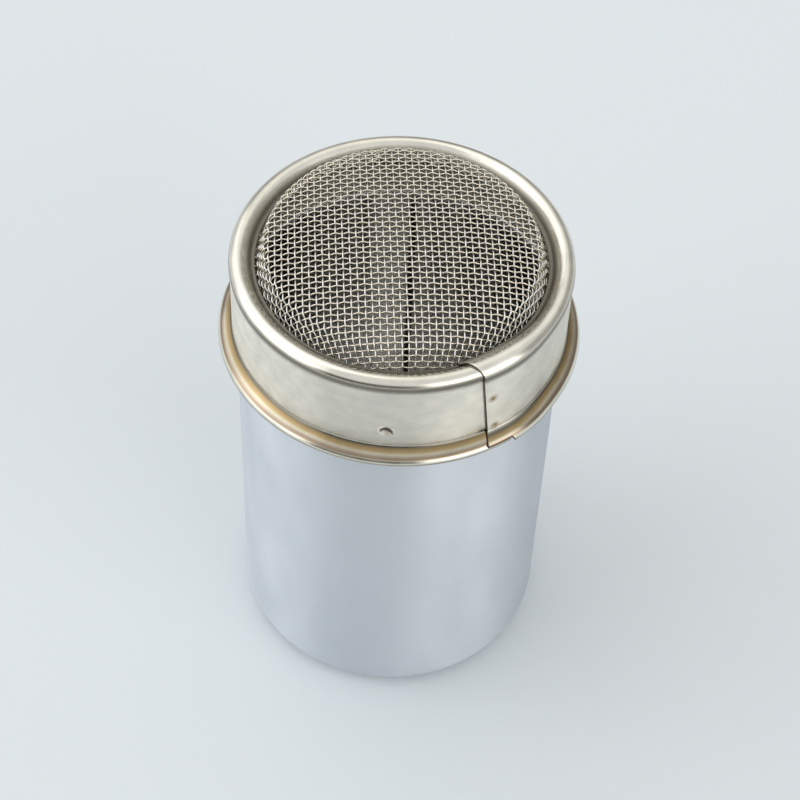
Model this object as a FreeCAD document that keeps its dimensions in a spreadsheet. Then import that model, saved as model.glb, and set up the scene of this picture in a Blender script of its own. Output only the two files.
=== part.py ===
import FreeCAD, Part
import os
from math import asin, cos, degrees, radians, sin, sqrt

import Sketcher

# Mesh-top shaker: a drawn steel cup and a push-on lid.
# Origin at the centre of the cup's base, +Z up, the photographed front towards -Y.
# An azimuth is counted from the front, positive towards +X.

SIZES = (
    # Cup, deep drawn from one blank
    ("cup_radius", 31.5, "outside radius of the cup"),
    ("cup_height", 86.8, "base to lip"),
    ("cup_wall", 0.6, "wall thickness"),
    ("cup_corner", 5.0, "outside radius between base and wall"),
    ("cup_lip_round", 0.2, "rounding of the lip's two edges"),
    # Lid band, one strip of sheet rolled into a hoop
    ("sheet_gauge", 0.5, "thickness of the lid's sheet"),
    ("lid_clearance", 0.3, "running gap between cup and band, on the radius"),
    ("band_overlap", 2.6, "how far the band's straight wall reaches below the cup's lip"),
    ("band_wall_height", 14.45, "straight wall of the band"),
    # Bead at the top, from the cut edge beside the mesh to the wall
    ("lip_flat", 0.4, "level lip that presses on the mesh"),
    ("lip_bend", 1.0, "bend between lip and slope, at mid sheet"),
    ("slope_angle", 50.0, "rise of the bead's inner slope"),
    ("slope_flat", 1.4, "length of that slope"),
    ("bead_bend", 1.5, "bend over the crest, at mid sheet"),
    ("neck_angle", 20.0, "how far the bead tucks in under itself"),
    ("neck_bend", 1.5, "bend back into the wall, at mid sheet"),
    # Brim at the bottom
    ("root_bend", 1.0, "bend from the wall into the brim, at mid sheet"),
    ("brim_angle", 30.0, "fall of the brim"),
    ("brim_flat", 1.7, "sloping width of the brim"),
    ("brim_roll", 1.5, "bend of the brim's rolled lip, at mid sheet"),
    ("brim_roll_angle", 60.0, "turn of the rolled lip"),
    # Lap joint of the strip, right of the front
    ("lap_gap", 0.06, "air between the two layers"),
    ("lap_edge_foot_angle", 31.6, "azimuth of the outer cut edge at the wall's foot"),
    ("lap_edge_neck_angle", 28.8, "azimuth of that edge under the bead"),
    ("lap_edge_lip_angle", 23.8, "azimuth of that edge at the bead's lip"),
    ("lap_end_angle", 38.5, "azimuth where the inner layer ends"),
    ("lap_clear_angle", 41.0, "azimuth where the outer layer starts to step down"),
    ("lap_step_angle", 50.0, "azimuth where it has stepped down"),
    ("lap_brim_trim", 0.9, "how much shorter the outer layer's brim is cut"),
    # Stop dimples, pressed inwards just above the cup's lip
    ("dimple_count", 3, "dimples round the band"),
    ("dimple_angle", -2.5, "azimuth of the first dimple"),
    ("dimple_tool", 1.7, "radius of the round-nosed punch"),
    ("dimple_depth", 0.7, "depth of a dimple"),
    ("seat_gap", 0.12, "play between dimples and cup lip"),
    # Spot welds of the lap joint
    ("weld_radius", 0.65, "radius of a weld mark"),
    ("weld_proud", 0.08, "how far a weld mark stands proud of the sheet"),
    ("weld_low_angle", 34.2, "azimuth of the lower weld"),
    ("weld_low_height", 0.8, "lower weld above the wall's foot"),
    ("weld_high_angle", 32.6, "azimuth of the upper weld"),
    ("weld_high_height", 9.0, "upper weld above the wall's foot"),
    # Domed wire cloth, plain weave
    ("wire_diameter", 0.33, "diameter of a wire"),
    ("wire_pitch", 1.262, "wire to wire, about twenty to the inch"),
    ("weave_turn_angle", 4.43, "turn of the weave about the axis"),
    ("weft_shift", 0.52, "middle weft wire from the axis"),
    ("warp_shift", -0.09, "middle warp wire from the axis"),
    ("mesh_clearance", 0.05, "gap between mesh, lip and clamp ring"),
    ("mesh_flange", 2.0, "flat edge of the mesh, held under the lip"),
    ("belt_width", 1.6, "plan width of the steep belt inside the lip"),
    ("belt_height", 5.15, "rise of the belt"),
    ("crown_height", 2.6, "rise of the crown above the fold between belt and crown"),
    # Clamp ring inside the band, under the mesh
    ("ring_gauge", 0.5, "thickness of the ring's sheet"),
    ("ring_clearance", 0.1, "gap between ring and band"),
    ("ring_flat", 3.6, "width of the ring's flat under the mesh"),
    ("ring_skirt", 4.5, "height of the ring's skirt"),
)

CROWN_POWER = 2.4
CROWN_STATION_SHARES = (0.3, 0.68, 1.0)
OVERRUN = 1.0
DECIMALS = 4
WELDS = ("low", "high")

# Height of the bead's lip at mid sheet, and of the clamp ring's top, as formulas on the sheet
NECK_RISE = "(Sizes.neck_bend + Sizes.bead_bend) * sin(Sizes.neck_angle * 1deg)"
WALL_FOOT = "Sizes.cup_height - Sizes.band_overlap"
CREST_HEIGHT = f"{WALL_FOOT} + Sizes.band_wall_height + {NECK_RISE} + Sizes.bead_bend"
BEAD_FALL = "(Sizes.bead_bend + Sizes.lip_bend) * (1 - cos(Sizes.slope_angle * 1deg))"
SLOPE_FALL = "Sizes.slope_flat * sin(Sizes.slope_angle * 1deg)"
LIP_HEIGHT = f"{CREST_HEIGHT} - {BEAD_FALL} - {SLOPE_FALL}"
MESH_ROOM = "Sizes.sheet_gauge / 2 + 2 * (Sizes.wire_diameter + Sizes.mesh_clearance)"
RING_TOP = f"{LIP_HEIGHT} - ({MESH_ROOM})"
BAND_BORE = "Sizes.cup_radius + Sizes.lid_clearance"


def make_sheet(doc):
    """Write the driving sizes into a sheet, one alias per size."""
    sheet = doc.addObject("Spreadsheet::Sheet", "Sizes")
    for row, (name, value, note) in enumerate(SIZES, start=1):
        sheet.set(f"A{row}", name)
        sheet.set(f"B{row}", str(value))
        sheet.set(f"C{row}", note)
        sheet.setAlias(f"B{row}", name)
    doc.recompute()
    return sheet


def at_azimuth(radius, azimuth, height):
    """A point at a radius and height, its azimuth counted from the front."""
    turn = radians(azimuth)
    return FreeCAD.Vector(radius * sin(turn), -radius * cos(turn), height)


# Cup

def base_plane(body, role):
    """One of a body's own origin planes or axes."""
    return next(item for item in body.Origin.OriginFeatures if item.Role == role)


def edge_names(feature, height, slack):
    """Names of a feature's level edges at one height."""
    names = []
    for index, edge in enumerate(feature.Shape.Edges, start=1):
        box = edge.BoundBox
        if abs(box.ZMin - height) < slack and abs(box.ZMax - height) < slack:
            names.append(f"Edge{index}")
    return names


def top_face_name(feature):
    """Name of a feature's highest level face."""
    faces = feature.Shape.Faces
    best = max(range(len(faces)), key=lambda index: faces[index].BoundBox.ZMin)
    return f"Face{best + 1}"


def make_cup(doc, sheet):
    """Disc padded to a slug, its base edge rounded, then shelled from the top."""
    body = doc.addObject("PartDesign::Body", "cup_body")
    outline = body.newObject("Sketcher::SketchObject", "cup_outline")
    outline.AttachmentSupport = (base_plane(body, "XY_Plane"), [""])
    outline.MapMode = "FlatFace"
    centre, up = FreeCAD.Vector(0, 0, 0), FreeCAD.Vector(0, 0, 1)
    circle = outline.addGeometry(Part.Circle(centre, up, sheet.cup_radius), False)
    outline.addConstraint(Sketcher.Constraint("Coincident", circle, 3, -1, 1))
    radius = outline.addConstraint(Sketcher.Constraint("Radius", circle, sheet.cup_radius))
    outline.setExpression(f"Constraints[{radius}]", "Sizes.cup_radius")

    slug = body.newObject("PartDesign::Pad", "cup_slug")
    slug.Profile = outline
    slug.setExpression("Length", "Sizes.cup_height")
    doc.recompute()

    corner = body.newObject("PartDesign::Fillet", "cup_base_corner")
    corner.Base = (slug, edge_names(slug, 0, sheet.cup_wall))
    corner.setExpression("Radius", "Sizes.cup_corner")
    doc.recompute()

    shell = body.newObject("PartDesign::Thickness", "cup_shell")
    shell.Base = (corner, [top_face_name(corner)])
    shell.Reversed = True
    shell.setExpression("Value", "Sizes.cup_wall")
    doc.recompute()

    lip = body.newObject("PartDesign::Fillet", "cup_lip")
    lip.Base = (shell, edge_names(shell, sheet.cup_height, sheet.cup_wall / 2))
    lip.setExpression("Radius", "Sizes.cup_lip_round")
    body.Tip = lip
    return body


# Lid band

def walk(moves):
    """Follow flats and bends from the origin, heading outwards.

    A move is (name, length, 0) for a flat or (name, radius, turn) for a bend, the
    turn in degrees and positive to the left. Each piece is a list of (r, z, heading).
    """
    r, z, heading = 0.0, 0.0, 0.0
    pieces = {}
    for name, amount, turn in moves:
        piece = [(r, z, heading)]
        if turn == 0:
            r += amount * cos(heading)
            z += amount * sin(heading)
            piece.append((r, z, heading))
        else:
            side = 1 if turn > 0 else -1
            centre_r = r - side * amount * sin(heading)
            centre_z = z + side * amount * cos(heading)
            for share in (0.5, 1.0):
                now = heading + radians(turn) * share
                r = centre_r + side * amount * sin(now)
                z = centre_z - side * amount * cos(now)
                piece.append((r, z, now))
            heading = now
        pieces[name] = piece
    return pieces


def band_path(sheet, trim):
    """Mid line of the strip's section, from the lip to the brim's cut edge."""
    pieces = walk((
        ("lip", sheet.lip_flat, 0),
        ("lip bend", sheet.lip_bend, sheet.slope_angle),
        ("slope", sheet.slope_flat, 0),
        ("crest", sheet.bead_bend, -sheet.slope_angle),
        ("bead", sheet.bead_bend, -90 - sheet.neck_angle),
        ("neck", sheet.neck_bend, sheet.neck_angle),
        ("wall", sheet.band_wall_height, 0),
        ("root", sheet.root_bend, 90 - sheet.brim_angle),
        ("brim", sheet.brim_flat - trim, 0),
        ("roll", sheet.brim_roll, -sheet.brim_roll_angle),
    ))
    foot_r, foot_z, _ = pieces["wall"][-1]
    shift_r = sheet.cup_radius + sheet.lid_clearance + sheet.sheet_gauge / 2 - foot_r
    shift_z = sheet.cup_height - sheet.band_overlap - foot_z
    return {
        name: [(r + shift_r, z + shift_z, way) for r, z, way in piece]
        for name, piece in pieces.items()
    }


def offset_edges(path, distance):
    """The path's flats and bends moved sideways, to the left of the heading."""
    edges = []
    for piece in path.values():
        points = [
            FreeCAD.Vector(r - distance * sin(way), 0, z + distance * cos(way))
            for r, z, way in piece
        ]
        curve = Part.Arc(*points) if len(points) == 3 else Part.LineSegment(*points)
        edges.append(curve.toShape())
    return edges


def strip_section(path, inside, outside, azimuth):
    """Closed wire of the strip between two offsets, turned to an azimuth."""
    low = offset_edges(path, inside)
    high = offset_edges(path, outside)
    caps = [
        Part.makeLine(low[0].Vertexes[0].Point, high[0].Vertexes[0].Point),
        Part.makeLine(low[-1].Vertexes[-1].Point, high[-1].Vertexes[-1].Point),
    ]
    wire = Part.Wire(low + [caps[1]] + high[::-1] + [caps[0]])
    wire.rotate(FreeCAD.Vector(0, 0, 0), FreeCAD.Vector(0, 0, 1), azimuth - 90)
    return wire


def spun(wire, turn):
    """The section revolved about the axis."""
    return Part.Face(wire).revolve(FreeCAD.Vector(0, 0, 0), FreeCAD.Vector(0, 0, 1), turn)


def lap_cutter(sheet, path, raised):
    """Block whose slanted face is the outer layer's cut edge."""
    neck_point, foot_point = path["wall"]
    lip_point = path["lip"][-1]
    foot_r = foot_point[0] + raised
    foot = at_azimuth(foot_r, sheet.lap_edge_foot_angle, foot_point[1])
    neck = at_azimuth(foot_r, sheet.lap_edge_neck_angle, neck_point[1])
    lip = at_azimuth(lip_point[0], sheet.lap_edge_lip_angle, lip_point[1])
    normal = (neck - foot).cross(lip - foot).normalize()
    side = normal if normal.dot(at_azimuth(1, sheet.lap_edge_foot_angle - 90, 0)) > 0 else -normal
    reach = 2 * foot_r
    block = Part.makeBox(reach, reach, reach)
    block.translate(FreeCAD.Vector(-reach / 2, -reach / 2, 0))
    block.Placement = FreeCAD.Placement(
        foot, FreeCAD.Rotation(FreeCAD.Vector(0, 0, 1), side)
    ).multiply(block.Placement)
    return block


def dimple_height(sheet):
    """Centre height of a dimple whose underside rests on the cup's lip."""
    punch = sheet.dimple_tool + sheet.sheet_gauge
    centre = dimple_centre_radius(sheet)
    return sheet.cup_height + sheet.seat_gap + sqrt(punch**2 - (centre - sheet.cup_radius) ** 2)


def dimple_centre_radius(sheet):
    """Distance of the punch nose's centre from the axis."""
    outside = sheet.cup_radius + sheet.lid_clearance + sheet.sheet_gauge
    return outside + sheet.dimple_tool - sheet.dimple_depth


def dimpled(band, sheet):
    """The band with its stop dimples pressed in."""
    outside = sheet.cup_radius + sheet.lid_clearance + sheet.sheet_gauge
    height = dimple_height(sheet)
    reach = sheet.dimple_tool + sheet.sheet_gauge + OVERRUN
    slug = Part.makeCylinder(
        outside - sheet.sheet_gauge / 2, 2 * reach, FreeCAD.Vector(0, 0, height - reach)
    )
    for index in range(int(sheet.dimple_count)):
        azimuth = sheet.dimple_angle + 360 * index / sheet.dimple_count
        centre = at_azimuth(dimple_centre_radius(sheet), azimuth, height)
        bump = Part.makeSphere(sheet.dimple_tool + sheet.sheet_gauge, centre)
        band = band.fuse(bump.common(slug)).cut(Part.makeSphere(sheet.dimple_tool, centre))
    return band


def make_band(doc, sheet):
    """Hoop of one strip: plain turn, step and raised lap, with its dimples."""
    half = sheet.sheet_gauge / 2
    lift = sheet.sheet_gauge + sheet.lap_gap
    plain = band_path(sheet, 0)
    short = band_path(sheet, sheet.lap_brim_trim)
    turn = 360 + sheet.lap_end_angle - sheet.lap_step_angle
    hoop = spun(strip_section(plain, -half, half, sheet.lap_step_angle), turn)
    step = Part.makeLoft(
        [
            strip_section(short, lift - half, lift + half, sheet.lap_clear_angle),
            strip_section(plain, -half, half, sheet.lap_step_angle),
        ],
        True,
        True,
    )
    start = sheet.lap_edge_lip_angle - degrees(asin(sheet.sheet_gauge / sheet.cup_radius))
    raised = strip_section(short, lift - half, lift + half, start)
    flap = spun(raised, sheet.lap_clear_angle - start)
    flap = flap.cut(lap_cutter(sheet, plain, lift))
    band = dimpled(hoop.fuse([step, flap]), sheet)
    feature = doc.addObject("Part::Feature", "lid_band")
    feature.Shape = band.Solids[0] if len(band.Solids) == 1 else band
    return feature


# Spot welds

def make_welds(doc, sheet):
    """Weld nuggets through both layers of the lap."""
    nuggets = []
    for name in WELDS:
        nugget = doc.addObject("Part::Cylinder", f"weld_{name}")
        nugget.setExpression("Radius", "Sizes.weld_radius")
        nugget.setExpression(
            "Height", "1.5 * Sizes.sheet_gauge + Sizes.lap_gap + Sizes.weld_proud"
        )
        turn = f"(Sizes.weld_{name}_angle * 1deg)"
        root = f"({BAND_BORE} + Sizes.sheet_gauge / 2)"
        nugget.setExpression("Placement.Base.x", f"{root} * sin{turn}")
        nugget.setExpression("Placement.Base.y", f"-{root} * cos{turn}")
        nugget.setExpression("Placement.Base.z", f"{WALL_FOOT} + Sizes.weld_{name}_height")
        azimuth = getattr(sheet, f"weld_{name}_angle")
        outwards = FreeCAD.Rotation(FreeCAD.Vector(0, 0, 1), at_azimuth(1, azimuth, 0))
        nugget.Placement = FreeCAD.Placement(nugget.Placement.Base, outwards)
        nuggets.append(nugget)
    group = doc.addObject("Part::Compound", "seam_spot_welds")
    group.Links = nuggets
    return group


# Clamp ring

def make_ring(doc, sheet):
    """Angle-section ring: a flat under the mesh and a skirt against the band."""
    body = doc.addObject("PartDesign::Body", "mesh_clamp_ring")
    section = body.newObject("Sketcher::SketchObject", "ring_section")
    section.AttachmentSupport = (base_plane(body, "XZ_Plane"), [""])
    section.MapMode = "FlatFace"
    edge = sheet.cup_radius + sheet.lid_clearance - sheet.ring_clearance
    bore, inner = edge - sheet.ring_flat, edge - sheet.ring_gauge
    corners = (
        (bore, 0), (bore, -sheet.ring_gauge), (inner, -sheet.ring_gauge),
        (inner, -sheet.ring_skirt), (edge, -sheet.ring_skirt), (edge, 0),
    )
    points = [FreeCAD.Vector(x, y, 0) for x, y in corners]
    count = len(points)
    for index in range(count):
        segment = Part.LineSegment(points[index], points[(index + 1) % count])
        section.addGeometry(segment, False)
    for index in range(count):
        following = (index + 1) % count
        section.addConstraint(Sketcher.Constraint("Coincident", index, 2, following, 1))
        way = "Vertical" if index % 2 == 0 else "Horizontal"
        section.addConstraint(Sketcher.Constraint(way, index))
    last = count - 1
    section.addConstraint(Sketcher.Constraint("PointOnObject", last, 1, -1))
    measures = (
        ("DistanceX", (-1, 1, last, 1), edge, f"{BAND_BORE} - Sizes.ring_clearance"),
        ("DistanceX", (last, 2, last, 1), sheet.ring_flat, "Sizes.ring_flat"),
        ("DistanceY", (0, 2, 0, 1), sheet.ring_gauge, "Sizes.ring_gauge"),
        ("DistanceX", (3, 1, 3, 2), sheet.ring_gauge, "Sizes.ring_gauge"),
        ("DistanceY", (4, 1, 4, 2), sheet.ring_skirt, "Sizes.ring_skirt"),
    )
    for kind, where, value, formula in measures:
        index = section.addConstraint(Sketcher.Constraint(kind, *where, value))
        section.setExpression(f"Constraints[{index}]", formula)
    turned = body.newObject("PartDesign::Revolution", "ring_turn")
    turned.Profile = section
    turned.ReferenceAxis = (section, ["V_Axis"])
    turned.Angle = 360
    body.Tip = turned
    body.setExpression("Placement.Base.z", RING_TOP)
    return body


# Mesh

def mesh_radii(sheet, path):
    """Radii of the mesh: crown's fold, foot of the belt and outer edge."""
    foot = path["lip"][0][0] - sheet.mesh_clearance - sheet.wire_diameter
    return foot - sheet.belt_width, foot, foot + sheet.mesh_flange


def mesh_height(sheet, path, radius):
    """Height of the cloth's mid surface at a radius."""
    fold, foot, _ = mesh_radii(sheet, path)
    lip_underside = path["lip"][0][1] - sheet.sheet_gauge / 2
    flat = lip_underside - sheet.mesh_clearance - sheet.wire_diameter
    if radius >= foot:
        return flat
    if radius >= fold:
        return flat + sheet.belt_height * (foot - radius) / (foot - fold)
    top = flat + sheet.belt_height + sheet.crown_height
    return top - sheet.crown_height * (radius / fold) ** CROWN_POWER


def beside(line, distance):
    """A line of points moved sideways, to the left of its way, with mitred corners."""
    ways = [(after - before).normalize() for before, after in zip(line, line[1:])]
    moved = []
    for point, way, following in zip(line, ways[:1] + ways, ways + ways[-1:]):
        mitre = FreeCAD.Vector(-way.z - following.z, 0, way.x + following.x)
        moved.append(point + mitre * (2 * distance / mitre.Length**2))
    return moved


def domed_wire(sheet, path, offset, layer):
    """One wire along X at an offset in Y, its side outline padded to its width."""
    fold, foot, edge = mesh_radii(sheet, path)
    stations = {0.0}
    for radius in [fold * share for share in CROWN_STATION_SHARES] + [foot, edge]:
        if radius - abs(offset) > sheet.mesh_clearance:
            reach = sqrt(radius**2 - offset**2)
            stations.update((round(reach, DECIMALS), round(-reach, DECIMALS)))
    line = [
        FreeCAD.Vector(x, offset, mesh_height(sheet, path, sqrt(x**2 + offset**2)))
        for x in sorted(stations)
    ]
    outline = line + beside(line, layer * sheet.wire_diameter)[::-1]
    side = Part.Face(Part.makePolygon(outline + outline[:1]))
    side.translate(FreeCAD.Vector(0, -sheet.wire_diameter / 2, 0))
    return side.extrude(FreeCAD.Vector(0, sheet.wire_diameter, 0))


def make_mesh(doc, sheet, label, layer, shift, turn):
    """All wires of one direction, laid parallel at the weave's pitch."""
    path = band_path(sheet, 0)
    _, _, edge = mesh_radii(sheet, path)
    reach = int((edge - abs(shift) - sheet.wire_diameter) / sheet.wire_pitch)
    wires = [
        domed_wire(sheet, path, index * sheet.wire_pitch + shift, layer)
        for index in range(-reach, reach + 1)
    ]
    feature = doc.addObject("Part::Feature", label)
    feature.Shape = Part.makeCompound(wires)
    feature.Placement = FreeCAD.Placement(
        FreeCAD.Vector(0, 0, 0), FreeCAD.Rotation(FreeCAD.Vector(0, 0, 1), turn)
    )
    return feature


# Whole shaker

def check(doc, pieces):
    """Stop if any object failed or a piece's shape is not sound."""
    for item in doc.Objects:
        if "Invalid" in item.State or "Error" in item.State:
            raise RuntimeError(f"{item.Label} failed: {item.State}")
    for piece in pieces:
        if piece.Shape.isNull() or not piece.Shape.isValid():
            raise RuntimeError(f"{piece.Label} has no sound shape")


def main():
    doc = FreeCAD.newDocument("mesh_top_shaker")
    sheet = make_sheet(doc)
    pieces = [
        make_cup(doc, sheet),
        make_band(doc, sheet),
        make_welds(doc, sheet),
        make_ring(doc, sheet),
        make_mesh(doc, sheet, "mesh_weft_wires", 1, sheet.weft_shift, sheet.weave_turn_angle),
        make_mesh(doc, sheet, "mesh_warp_wires", -1, sheet.warp_shift, sheet.weave_turn_angle + 90),
    ]
    doc.recompute()
    check(doc, pieces)
    os.makedirs("parts", exist_ok=True)
    for piece in pieces:
        solids = piece.Shape.Solids
        box = piece.Shape.BoundBox
        print(
            f"{piece.Label}: {len(solids)} solids, {piece.Shape.Volume:.1f} mm3,"
            f" z {box.ZMin:.2f} to {box.ZMax:.2f}, x {box.XMin:.2f} to {box.XMax:.2f}"
        )
        piece.Shape.exportStep(os.path.join("parts", f"{piece.Label}.step"))


main()
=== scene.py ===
from math import asin, atan2, ceil, cos, hypot, pi, radians, sin, sqrt, tau

import bpy
from bpy.props import FloatProperty, FloatVectorProperty, IntProperty, PointerProperty
from bpy.types import Operator, Panel, PropertyGroup
from mathutils import Matrix, Vector


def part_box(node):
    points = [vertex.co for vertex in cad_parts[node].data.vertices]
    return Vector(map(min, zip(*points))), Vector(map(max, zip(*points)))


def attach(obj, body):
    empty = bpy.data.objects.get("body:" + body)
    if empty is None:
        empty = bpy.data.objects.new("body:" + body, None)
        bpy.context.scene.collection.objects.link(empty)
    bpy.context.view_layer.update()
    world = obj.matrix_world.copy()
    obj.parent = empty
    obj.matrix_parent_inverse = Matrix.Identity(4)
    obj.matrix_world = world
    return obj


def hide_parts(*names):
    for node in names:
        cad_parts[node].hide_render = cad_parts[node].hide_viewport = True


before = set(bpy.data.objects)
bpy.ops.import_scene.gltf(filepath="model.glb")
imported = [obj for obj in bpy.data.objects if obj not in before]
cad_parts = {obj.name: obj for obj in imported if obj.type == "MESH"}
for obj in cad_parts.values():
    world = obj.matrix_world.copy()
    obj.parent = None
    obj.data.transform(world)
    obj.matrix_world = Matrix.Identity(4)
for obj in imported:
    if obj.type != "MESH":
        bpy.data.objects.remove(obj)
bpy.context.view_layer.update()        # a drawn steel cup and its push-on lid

bl_info = {
    "name": "Mesh-top shaker",
    "version": (1, 0, 0),
    "blender": (4, 5, 0),
    "location": "View3D > Sidebar > Shaker",
    "description": "Builds a steel powder shaker with a woven wire top around its packed frame",
    "category": "Add Mesh",
}

# Every length is in metres, in the shaker's own frame: base at z = 0, front towards -Y.
# An azimuth is counted from the front, positive towards +X.

MM = 0.001
CUP_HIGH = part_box("cup_body")[1]
BAND_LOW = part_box("lid_band")[0]
RING_LOW, RING_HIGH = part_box("mesh_clamp_ring")
CLOTH_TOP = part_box("mesh_weft_wires")[1].z


def length(name, description, millimetres):
    """A size in metres whose default is given in millimetres."""
    return FloatProperty(
        name=name, description=description, default=millimetres * MM,
        precision=5, subtype="DISTANCE", unit="LENGTH",
    )


def angle(name, description, degrees):
    """An angle in radians whose default is given in degrees."""
    return FloatProperty(
        name=name, description=description, default=radians(degrees),
        subtype="ANGLE", unit="ROTATION",
    )


def linear(code):
    """An sRGB hex colour as linear red, green and blue."""
    parts = [int(code[at:at + 2], 16) / 255 for at in (0, 2, 4)]
    return [part / 12.92 if part <= 0.04045 else ((part + 0.055) / 1.055) ** 2.4 for part in parts]


def paint(code):
    """An sRGB hex colour as linear red, green, blue and full cover."""
    return (*linear(code), 1.0)


def colour(name, description, code):
    """A colour whose default is an sRGB hex value."""
    return FloatVectorProperty(
        name=name, description=description, default=linear(code),
        size=3, min=0.0, max=1.0, subtype="COLOR",
    )


# Sizes and colours

class ShakerCup(PropertyGroup):
    """The drawn cup."""
    radius: length("Radius", "Outside radius of the cup", CUP_HIGH.x / MM)
    height: length("Height", "From the base to the lip", CUP_HIGH.z / MM)
    wall: length("Wall", "Thickness of the wall", 0.6)
    corner: length("Corner", "Outside radius between base and wall", 5.0)
    lip_round: length("Lip rounding", "Rounding of the lip's edges", 0.22)
    tint: colour("Tint", "Colour of the satin steel", "DCE1E7")
    inner_tint: colour("Inner tint", "Colour of the steel inside, as drawn", "ABA8A4")


class ShakerBand(PropertyGroup):
    """The strip of sheet rolled into the lid's hoop."""
    gauge: length("Gauge", "Thickness of the sheet", 0.5)
    clearance: length("Clearance", "Running gap between cup and band", 0.3)
    overlap: length("Overlap", "How far the straight wall reaches below the cup's lip", 2.6)
    wall_height: length("Wall height", "Straight wall between bead and brim", 14.45)
    lip_flat: length("Lip", "Level lip that presses on the wire cloth", 0.4)
    lip_bend: length("Lip bend", "Bend between lip and slope", 1.0)
    slope_angle: angle("Slope angle", "Rise of the bead's inner slope", 50.0)
    slope_flat: length("Slope", "Length of that slope", 1.4)
    bead_bend: length("Bead bend", "Bend over the bead's crest", 1.5)
    neck_angle: angle("Neck angle", "How far the bead tucks in under itself", 20.0)
    neck_bend: length("Neck bend", "Bend back into the wall", 1.5)
    root_bend: length("Root bend", "Bend from the wall into the brim", 1.0)
    brim_angle: angle("Brim angle", "Fall of the brim", 30.0)
    brim_flat: length("Brim", "Sloping width of the brim", 1.7)
    brim_roll: length("Brim roll", "Bend of the brim's rolled edge", 1.5)
    brim_roll_angle: angle("Roll angle", "Turn of that rolled edge", 60.0)
    edge_round: length("Edge rounding", "Rounding of the sheet's cut edges", 0.12)
    lap_gap: length("Lap gap", "Air between the two layers of the lap joint", 0.06)
    lap_foot: angle("Lap at the foot", "Azimuth of the outer cut edge at the wall's foot", 31.6)
    lap_neck: angle("Lap at the neck", "Azimuth of that edge under the bead", 28.8)
    lap_lip: angle("Lap at the lip", "Azimuth of that edge at the bead's lip", 23.8)
    lap_end: angle("Inner layer's end", "Azimuth where the inner layer ends", 38.5)
    lap_clear: angle("Step start", "Azimuth where the outer layer starts to step down", 39.5)
    lap_down: angle("Step end", "Azimuth where it has stepped down", 62.0)
    lap_trim: length("Brim trim", "How much shorter the outer layer's brim is cut", 0.74)
    lap_notch: angle("Notch", "Width of the step back to the full brim", 1.0)
    dimples: IntProperty(name="Dimples", description="Stop dimples round the band", default=3)
    dimple_angle: angle("First dimple", "Azimuth of the first dimple", -2.5)
    dimple_tool: length("Dimple tool", "Radius of the round-nosed punch", 1.7)
    dimple_depth: length("Dimple depth", "Depth of a dimple", 0.7)
    dimple_play: length("Dimple play", "Play between the dimples and the cup's lip", 0.12)


class ShakerWelds(PropertyGroup):
    """The two spot welds of the lap joint."""
    radius: length("Radius", "Radius of a weld mark", 0.65)
    depth: length("Depth", "Depth of the electrode's dent", 0.14)
    low_angle: angle("Lower azimuth", "Azimuth of the lower weld", 34.2)
    low_height: length("Lower height", "Lower weld above the wall's foot", 0.8)
    high_angle: angle("Upper azimuth", "Azimuth of the upper weld", 32.6)
    high_height: length("Upper height", "Upper weld above the wall's foot", 9.0)


class ShakerRing(PropertyGroup):
    """The angle-section ring under the wire cloth."""
    gauge: length("Gauge", "Thickness of the ring's sheet", 0.5)
    flat: length("Flat", "Width of the ring's flat", 3.6)
    edge_round: length("Edge rounding", "Rounding of the ring's edges", 0.12)
    tint: colour("Tint", "Colour of the ring", "9B9A96")


class ShakerCloth(PropertyGroup):
    """The domed wire cloth."""
    wire: length("Wire", "Diameter of a wire", 0.33)
    pitch: length("Pitch", "Wire to wire, about twenty to the inch", 1.262)
    turn: angle("Turn", "Turn of the weave about the axis", 4.43)
    weft_shift: length("Weft shift", "Middle weft wire from the axis", 0.52)
    warp_shift: length("Warp shift", "Middle warp wire from the axis", -0.09)
    crown_radius: length("Crown radius", "Where the crown folds down into the belt", 25.536)
    crown_rise: length("Crown rise", "Rise of the crown above that fold", 2.6)
    crown_power: FloatProperty(name="Crown power", description="Flatness of the crown", default=2.4)
    belt_width: length("Belt width", "Plan width of the steep belt inside the lip", 1.6)
    belt_rise: length("Belt rise", "Rise of the belt", 5.15)
    flange: length("Flange", "Flat edge held under the lip", 2.0)
    softening: IntProperty(name="Softening", description="Rounds of smoothing at the fold", default=30)
    steps: IntProperty(name="Steps", description="Steps along a wire from crossing to crossing", default=5)
    sides: IntProperty(name="Sides", description="Sides of a wire", default=8)
    weft_tint: colour("Weft tint", "Colour of the weft wires", "E4DCCB")
    warp_tint: colour("Warp tint", "Colour of the warp wires", "E2E2DE")


class ShakerStudio(PropertyGroup):
    """Floor, light and camera."""
    floor: colour("Floor", "Colour of the pale floor", "DAE0E4")
    world_strength: FloatProperty(name="Room", description="Strength of the room's light", default=0.89)
    key_power: FloatProperty(name="Key", description="Power of the key light in watts", default=3.5)
    reach: FloatProperty(
        name="Floor reach", description="Half the floor's side", default=3.0, unit="LENGTH"
    )
    elevation: angle("Elevation", "Camera's view below the horizon", 50.385)
    roll: angle("Roll", "Camera's roll", 2.697)
    lens: FloatProperty(name="Lens", description="Focal length on a 36 mm sensor", default=93.06)


GROUPS = {
    "shaker_cup": ShakerCup,
    "shaker_band": ShakerBand,
    "shaker_welds": ShakerWelds,
    "shaker_ring": ShakerRing,
    "shaker_cloth": ShakerCloth,
    "shaker_studio": ShakerStudio,
}


# Nodes

# Most of a noise pattern lies between these values
NOISE_RANGE = (0.3, 0.7)


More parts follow.
